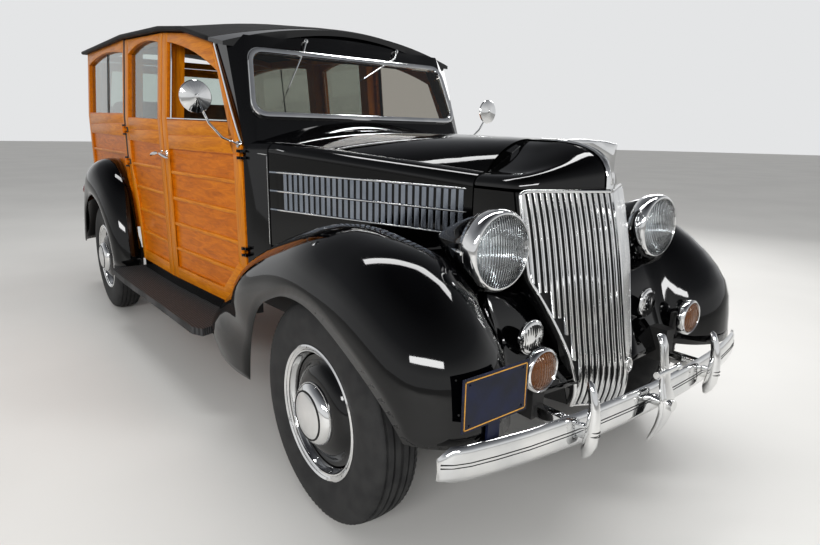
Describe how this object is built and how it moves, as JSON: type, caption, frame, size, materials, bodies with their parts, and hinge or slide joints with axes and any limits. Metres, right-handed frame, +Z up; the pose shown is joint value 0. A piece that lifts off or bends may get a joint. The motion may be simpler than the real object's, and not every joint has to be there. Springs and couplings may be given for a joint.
{
  "type": "wooden-bodied station wagon",
  "caption": "Pre-war station wagon with a varnished wooden body, fabric roof, steel fenders and opening doors, hood and gates.",
  "frame": {"origin": "middle of the car's footprint on the ground", "axes": "+Z up, -Y the front of the car, +X its left side"},
  "size_m": [1.768, 4.677, 1.8256],
  "materials": {
    "black_paint": "gloss",
    "varnished_wood": "gloss varnish",
    "roof_fabric": "matt coated cloth",
    "chrome": "polished",
    "window_glass": "clear",
    "lamp_glass": "ribbed",
    "amber_glass": "ribbed",
    "tyre_rubber": "matt",
    "mat_rubber": "ribbed",
    "chassis_paint": "satin",
    "engine_iron": "painted",
    "seat_leather": "satin",
    "plate_paint": "enamel",
    "tail_glass": "clear"
  },
  "bodies": {
    "root": {"cowl": "black_paint", "windscreen_surround": "black_paint", "nose_shell": "black_paint", "front_fenders": "black_paint", "rear_fenders": "black_paint", "headlamps": "black_paint", "dashboard": "black_paint", "valance": "black_paint", "quarter_panels": "varnished_wood", "body_frame": "varnished_wood", "floor": "varnished_wood", "roof": "roof_fabric", "grille": "chrome", "front_bumper": "chrome", "rear_bumper": "chrome", "windscreen_frame": "chrome", "horn_grilles": "chrome", "windscreen_glass": "window_glass", "quarter_glass": "window_glass", "headlamp_lenses": "lamp_glass", "fog_lamps": "amber_glass", "tail_lamps": "tail_glass", "running_boards": "mat_rubber", "chassis_frame": "chassis_paint", "front_axle": "chassis_paint", "rear_axle": "chassis_paint", "exhaust": "chassis_paint", "fuel_tank": "chassis_paint", "radiator": "chassis_paint", "engine": "engine_iron", "seats": "seat_leather", "number_plate": "plate_paint"},
    "door_front_left": {"door_front_left": "varnished_wood", "mirror_left": "chrome"},
    "door_front_right": {"door_front_right": "varnished_wood", "mirror_right": "chrome"},
    "door_rear_left": {"door_rear_left": "varnished_wood", "rear_door_glass_left": "window_glass"},
    "door_rear_right": {"door_rear_right": "varnished_wood", "rear_door_glass_right": "window_glass"},
    "hood_top_left": {"hood_top_left": "black_paint"},
    "hood_top_right": {"hood_top_right": "black_paint"},
    "hood_side_left": {"hood_side_left": "black_paint"},
    "hood_side_right": {"hood_side_right": "black_paint"},
    "tailgate": {"tailgate": "varnished_wood", "spare_tyre": "tyre_rubber", "spare_wheel": "black_paint"},
    "liftgate": {"liftgate": "varnished_wood", "liftgate_glass": "window_glass"},
    "steering_wheel": {"steering_wheel": "black_paint"},
    "knuckle_left": {"knuckle_left": "chassis_paint"},
    "knuckle_right": {"knuckle_right": "chassis_paint"},
    "wheel_front_left": {"tyre_front_left": "tyre_rubber", "wheel_front_left": "black_paint"},
    "wheel_front_right": {"tyre_front_right": "tyre_rubber", "wheel_front_right": "black_paint"},
    "wheel_rear_left": {"tyre_rear_left": "tyre_rubber", "wheel_rear_left": "black_paint"},
    "wheel_rear_right": {"tyre_rear_right": "tyre_rubber", "wheel_rear_right": "black_paint"}
  },
  "joints": [
    {"name": "steer_left", "type": "hinge", "parent": "root", "child": "knuckle_left", "pos_m": [0.61, -1.5965, 0.355], "axis": [0, 0, 1], "range_deg": [-30, 30]},
    {"name": "wheel_front_left_spin", "type": "hinge", "parent": "knuckle_left", "child": "wheel_front_left", "pos_m": [0.705, -1.5965, 0.355], "axis": [1, 0, 0], "continuous": true},
    {"name": "wheel_rear_left_spin", "type": "hinge", "parent": "root", "child": "wheel_rear_left", "pos_m": [0.74, 1.2485, 0.355], "axis": [1, 0, 0], "continuous": true},
    {"name": "door_front_left_hinge", "type": "hinge", "parent": "root", "child": "door_front_left", "pos_m": [0.627, -0.7105, 0.9], "axis": [0, 0, -1], "range_deg": [0, 60]},
    {"name": "door_rear_left_hinge", "type": "hinge", "parent": "root", "child": "door_rear_left", "pos_m": [0.713, 0.8575, 1.1], "axis": [0, 0, 1], "range_deg": [0, 60]},
    {"name": "hood_left_open", "type": "hinge", "parent": "root", "child": "hood_top_left", "pos_m": [0.013, -1.7245, 1.197], "axis": [0, -0.9997, -0.0227], "range_deg": [0, 55]},
    {"name": "hood_left_fold", "type": "hinge", "parent": "hood_top_left", "child": "hood_side_left", "pos_m": [0.254, -1.7245, 1.043], "axis": [-0.3132, -0.946, -0.0831], "range_deg": [-27.5, 0]},
    {"name": "steer_right", "type": "hinge", "parent": "root", "child": "knuckle_right", "pos_m": [-0.61, -1.5965, 0.355], "axis": [0, 0, 1], "range_deg": [-30, 30]},
    {"name": "wheel_front_right_spin", "type": "hinge", "parent": "knuckle_right", "child": "wheel_front_right", "pos_m": [-0.705, -1.5965, 0.355], "axis": [1, 0, 0], "continuous": true},
    {"name": "wheel_rear_right_spin", "type": "hinge", "parent": "root", "child": "wheel_rear_right", "pos_m": [-0.74, 1.2485, 0.355], "axis": [1, 0, 0], "continuous": true},
    {"name": "door_front_right_hinge", "type": "hinge", "parent": "root", "child": "door_front_right", "pos_m": [-0.627, -0.7105, 0.9], "axis": [0, 0, 1], "range_deg": [0, 60]},
    {"name": "door_rear_right_hinge", "type": "hinge", "parent": "root", "child": "door_rear_right", "pos_m": [-0.713, 0.8575, 1.1], "axis": [0, 0, -1], "range_deg": [0, 60]},
    {"name": "hood_right_open", "type": "hinge", "parent": "root", "child": "hood_top_right", "pos_m": [-0.013, -1.7245, 1.197], "axis": [0, 0.9997, 0.0227], "range_deg": [0, 55]},
    {"name": "hood_right_fold", "type": "hinge", "parent": "hood_top_right", "child": "hood_side_right", "pos_m": [-0.254, -1.7245, 1.043], "axis": [-0.3132, 0.946, 0.0831], "range_deg": [-27.5, 0]},
    {"name": "steering_wheel_turn", "type": "hinge", "parent": "root", "child": "steering_wheel", "pos_m": [0.33, -0.3865, 1.08], "axis": [0, 0.7431, 0.6691], "range_deg": [-450, 450]},
    {"name": "tailgate_hinge", "type": "hinge", "parent": "root", "child": "tailgate", "pos_m": [0, 2.1325, 0.746], "axis": [-1, 0, 0], "range_deg": [0, 90]},
    {"name": "liftgate_hinge", "type": "hinge", "parent": "root", "child": "liftgate", "pos_m": [0, 2.1325, 1.703], "axis": [1, 0, 0], "range_deg": [0, 80]}
  ],
  "couplings": [
    {"joint": "steer_right", "follows": "steer_left", "ratio": 1},
    {"joint": "steering_wheel_turn", "follows": "steer_left", "ratio": 15},
    {"joint": "hood_left_fold", "follows": "hood_left_open", "ratio": -0.5},
    {"joint": "hood_right_fold", "follows": "hood_right_open", "ratio": -0.5}
  ]
}
